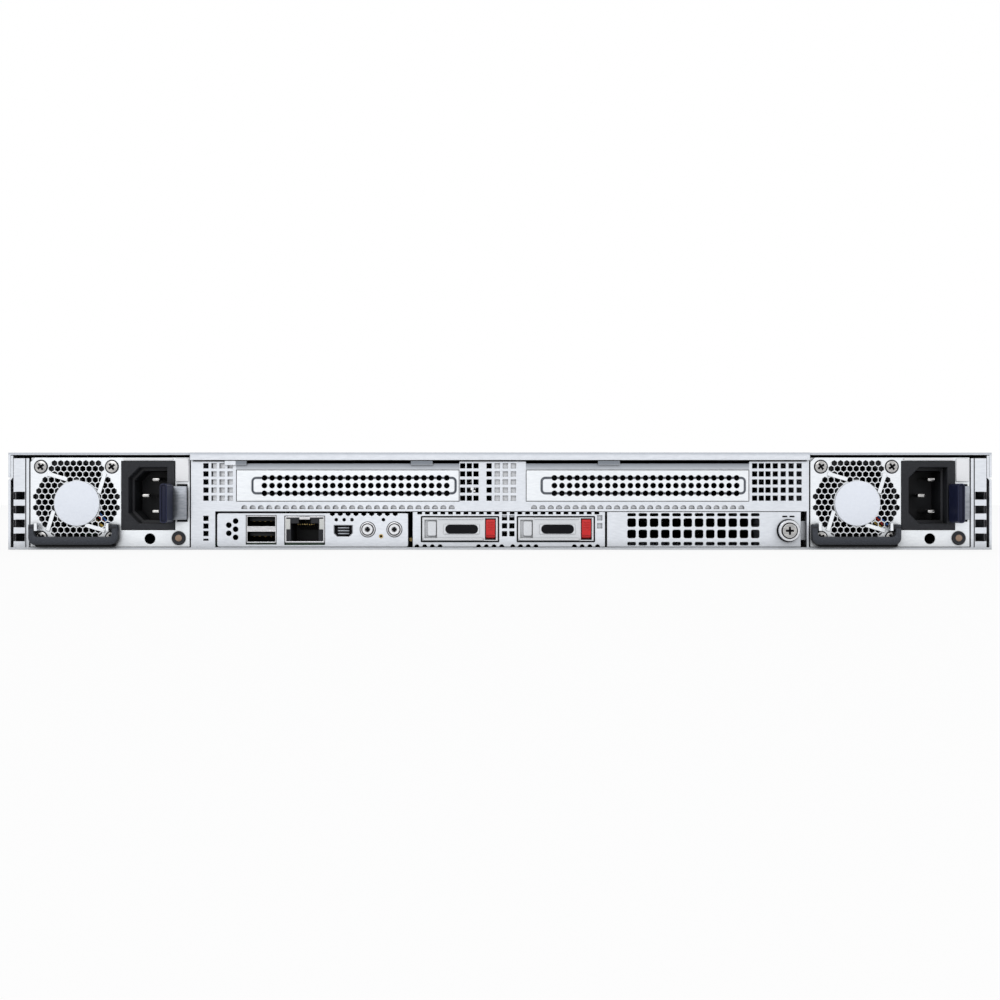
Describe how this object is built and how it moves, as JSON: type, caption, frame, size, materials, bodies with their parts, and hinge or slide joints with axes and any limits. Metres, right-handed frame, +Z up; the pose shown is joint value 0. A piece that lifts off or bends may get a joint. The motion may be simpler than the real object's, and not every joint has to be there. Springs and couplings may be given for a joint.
{
  "type": "1u rack server",
  "caption": "One-unit rack server with two slide-out power supplies, rear ports and slot blanks, fans, and front drive carriers with levers.",
  "frame": {"origin": "under the middle of the whole machine, on the face it rests on", "axes": "+Y from the rear ports to the front drive bays, +Z up, +X to the right seen from the rear"},
  "size_m": [0.482, 0.8, 0.0428],
  "materials": {
    "zinc_sheet": "satin zinc-plated steel sheet",
    "supply_sheet": "satin plated steel sheet",
    "bright_steel": "brushed steel",
    "black_plastic": "matt black plastic",
    "slate_plastic": "matt slate-grey plastic",
    "grey_plastic": "matt light grey plastic",
    "red_plastic": "satin red plastic",
    "white_plastic": "satin white plastic",
    "board_green": "solder-masked circuit board",
    "cast_aluminium": "cast and milled aluminium",
    "port_metal": "plated connector shell"
  },
  "bodies": {
    "chassis": {"chassis_base": "zinc_sheet", "rear_frame": "zinc_sheet", "drive_cage": "zinc_sheet", "rack_ears": "zinc_sheet", "slot_blanks": "zinc_sheet", "riser_cages": "zinc_sheet", "io_faceplate": "zinc_sheet", "io_board": "board_green", "usb_connector": "port_metal", "lan_connector": "black_plastic", "m2_bay_housing": "zinc_sheet", "adapter_blank": "zinc_sheet", "motherboard": "board_green", "cpu_heat_sinks": "cast_aluminium", "memory_modules": "board_green", "air_shroud": "black_plastic", "fan_frames": "black_plastic", "drive_backplane": "board_green"},
    "cover": {"top_cover": "zinc_sheet"},
    "cover_latch": {"cover_latch": "grey_plastic"},
    "power_button": {"power_button": "white_plastic"},
    "id_button": {"id_button": "white_plastic"},
    "reset_button": {"reset_button": "white_plastic"},
    "adapter_thumbscrew": {"adapter_thumbscrew": "bright_steel"},
    "m2_carrier_1": {"m2_carrier_1": "grey_plastic"},
    "m2_latch_1": {"m2_latch_1": "red_plastic"},
    "m2_carrier_2": {"m2_carrier_2": "grey_plastic"},
    "m2_latch_2": {"m2_latch_2": "red_plastic"},
    "fan_rotor_1": {"fan_rotor_1": "black_plastic"},
    "fan_rotor_2": {"fan_rotor_2": "black_plastic"},
    "fan_rotor_3": {"fan_rotor_3": "black_plastic"},
    "fan_rotor_4": {"fan_rotor_4": "black_plastic"},
    "drive_carrier_1": {"drive_carrier_1": "bright_steel", "hard_drive_1": "cast_aluminium"},
    "drive_lever_1": {"drive_lever_1": "black_plastic"},
    "drive_carrier_2": {"drive_carrier_2": "bright_steel", "hard_drive_2": "cast_aluminium"},
    "drive_lever_2": {"drive_lever_2": "black_plastic"},
    "drive_carrier_3": {"drive_carrier_3": "bright_steel", "hard_drive_3": "cast_aluminium"},
    "drive_lever_3": {"drive_lever_3": "black_plastic"},
    "drive_carrier_4": {"drive_carrier_4": "bright_steel", "hard_drive_4": "cast_aluminium"},
    "drive_lever_4": {"drive_lever_4": "black_plastic"},
    "power_supply_1": {"psu_case_1": "supply_sheet", "psu_screws_1": "bright_steel", "psu_fan_frame_1": "black_plastic", "psu_inlet_1": "black_plastic", "psu_board_1": "board_green"},
    "psu_rotor_1": {"psu_fan_rotor_1": "black_plastic"},
    "psu_latch_1": {"psu_latch_1": "slate_plastic"},
    "psu_handle_1": {"psu_handle_1": "slate_plastic"},
    "power_supply_2": {"psu_case_2": "supply_sheet", "psu_screws_2": "bright_steel", "psu_fan_frame_2": "black_plastic", "psu_inlet_2": "black_plastic", "psu_board_2": "board_green"},
    "psu_rotor_2": {"psu_fan_rotor_2": "black_plastic"},
    "psu_latch_2": {"psu_latch_2": "slate_plastic"},
    "psu_handle_2": {"psu_handle_2": "slate_plastic"}
  },
  "joints": [
    {"name": "cover_slide", "type": "slide", "parent": "chassis", "child": "cover", "axis": [0, -1, 0], "range_m": [0, 0.012]},
    {"name": "cover_latch_lift", "type": "hinge", "parent": "cover", "child": "cover_latch", "pos_m": [0, 0.125, 0.0404], "axis": [1, 0, 0], "range_deg": [-75, 0]},
    {"name": "power_press", "type": "slide", "parent": "chassis", "child": "power_button", "axis": [0, -1, 0], "range_m": [0, 0.0015], "stiffness_N_per_m": 300},
    {"name": "id_press", "type": "slide", "parent": "chassis", "child": "id_button", "axis": [0, 1, 0], "range_m": [0, 0.001], "stiffness_N_per_m": 300},
    {"name": "reset_press", "type": "slide", "parent": "chassis", "child": "reset_button", "axis": [0, 1, 0], "range_m": [0, 0.001], "stiffness_N_per_m": 300},
    {"name": "thumbscrew_turn", "type": "hinge", "parent": "chassis", "child": "adapter_thumbscrew", "pos_m": [0.1272, -0.388, 0.0084], "axis": [0, 1, 0], "continuous": true},
    {"name": "m2_carrier_1_slide", "type": "slide", "parent": "chassis", "child": "m2_carrier_1", "axis": [0, -1, 0], "range_m": [0, 0.085]},
    {"name": "m2_latch_1_turn", "type": "hinge", "parent": "m2_carrier_1", "child": "m2_latch_1", "pos_m": [-0.01765, -0.3866, 0.0063], "axis": [1, 0, 0], "range_deg": [0, 80]},
    {"name": "m2_carrier_2_slide", "type": "slide", "parent": "chassis", "child": "m2_carrier_2", "axis": [0, -1, 0], "range_m": [0, 0.085]},
    {"name": "m2_latch_2_turn", "type": "hinge", "parent": "m2_carrier_2", "child": "m2_latch_2", "pos_m": [0.02465, -0.3866, 0.0063], "axis": [1, 0, 0], "range_deg": [0, 80]},
    {"name": "fan_1_spin", "type": "hinge", "parent": "chassis", "child": "fan_rotor_1", "pos_m": [-0.156, 0.162, 0.0213], "axis": [0, 1, 0], "continuous": true},
    {"name": "fan_2_spin", "type": "hinge", "parent": "chassis", "child": "fan_rotor_2", "pos_m": [-0.052, 0.162, 0.0213], "axis": [0, 1, 0], "continuous": true},
    {"name": "fan_3_spin", "type": "hinge", "parent": "chassis", "child": "fan_rotor_3", "pos_m": [0.052, 0.162, 0.0213], "axis": [0, 1, 0], "continuous": true},
    {"name": "fan_4_spin", "type": "hinge", "parent": "chassis", "child": "fan_rotor_4", "pos_m": [0.156, 0.162, 0.0213], "axis": [0, 1, 0], "continuous": true},
    {"name": "drive_1_slide", "type": "slide", "parent": "chassis", "child": "drive_carrier_1", "axis": [0, 1, 0], "range_m": [0, 0.15]},
    {"name": "drive_lever_1_turn", "type": "hinge", "parent": "drive_carrier_1", "child": "drive_lever_1", "pos_m": [-0.2103, 0.372, 0.018], "axis": [0, 0, 1], "range_deg": [0, 50]},
    {"name": "drive_2_slide", "type": "slide", "parent": "chassis", "child": "drive_carrier_2", "axis": [0, 1, 0], "range_m": [0, 0.15]},
    {"name": "drive_lever_2_turn", "type": "hinge", "parent": "drive_carrier_2", "child": "drive_lever_2", "pos_m": [-0.1031, 0.372, 0.018], "axis": [0, 0, 1], "range_deg": [0, 50]},
    {"name": "drive_3_slide", "type": "slide", "parent": "chassis", "child": "drive_carrier_3", "axis": [0, 1, 0], "range_m": [0, 0.15]},
    {"name": "drive_lever_3_turn", "type": "hinge", "parent": "drive_carrier_3", "child": "drive_lever_3", "pos_m": [0.0041, 0.372, 0.018], "axis": [0, 0, 1], "range_deg": [0, 50]},
    {"name": "drive_4_slide", "type": "slide", "parent": "chassis", "child": "drive_carrier_4", "axis": [0, 1, 0], "range_m": [0, 0.15]},
    {"name": "drive_lever_4_turn", "type": "hinge", "parent": "drive_carrier_4", "child": "drive_lever_4", "pos_m": [0.1113, 0.372, 0.018], "axis": [0, 0, 1], "range_deg": [0, 50]},
    {"name": "psu_1_slide", "type": "slide", "parent": "chassis", "child": "power_supply_1", "axis": [0, -1, 0], "range_m": [0, 0.18]},
    {"name": "psu_fan_1_spin", "type": "hinge", "parent": "power_supply_1", "child": "psu_rotor_1", "pos_m": [-0.18695, -0.374, 0.02095], "axis": [0, 1, 0], "continuous": true},
    {"name": "psu_latch_1_press", "type": "hinge", "parent": "power_supply_1", "child": "psu_latch_1", "pos_m": [-0.1392, -0.354, 0.0199], "axis": [0, 0, -1], "range_deg": [0, 4], "stiffness_Nm_per_rad": 0.6},
    {"name": "psu_handle_1_fold", "type": "hinge", "parent": "power_supply_1", "child": "psu_handle_1", "pos_m": [-0.18695, -0.39, 0.0099], "axis": [-1, 0, 0], "range_deg": [0, 90]},
    {"name": "psu_2_slide", "type": "slide", "parent": "chassis", "child": "power_supply_2", "axis": [0, -1, 0], "range_m": [0, 0.18]},
    {"name": "psu_fan_2_spin", "type": "hinge", "parent": "power_supply_2", "child": "psu_rotor_2", "pos_m": [0.15725, -0.374, 0.02095], "axis": [0, 1, 0], "continuous": true},
    {"name": "psu_latch_2_press", "type": "hinge", "parent": "power_supply_2", "child": "psu_latch_2", "pos_m": [0.205, -0.354, 0.0199], "axis": [0, 0, -1], "range_deg": [0, 4], "stiffness_Nm_per_rad": 0.6},
    {"name": "psu_handle_2_fold", "type": "hinge", "parent": "power_supply_2", "child": "psu_handle_2", "pos_m": [0.15725, -0.39, 0.0099], "axis": [-1, 0, 0], "range_deg": [0, 90]}
  ],
  "couplings": [
    {"joint": "cover_latch_lift", "follows": "cover_slide", "rad_per_m": -109.08}
  ]
}
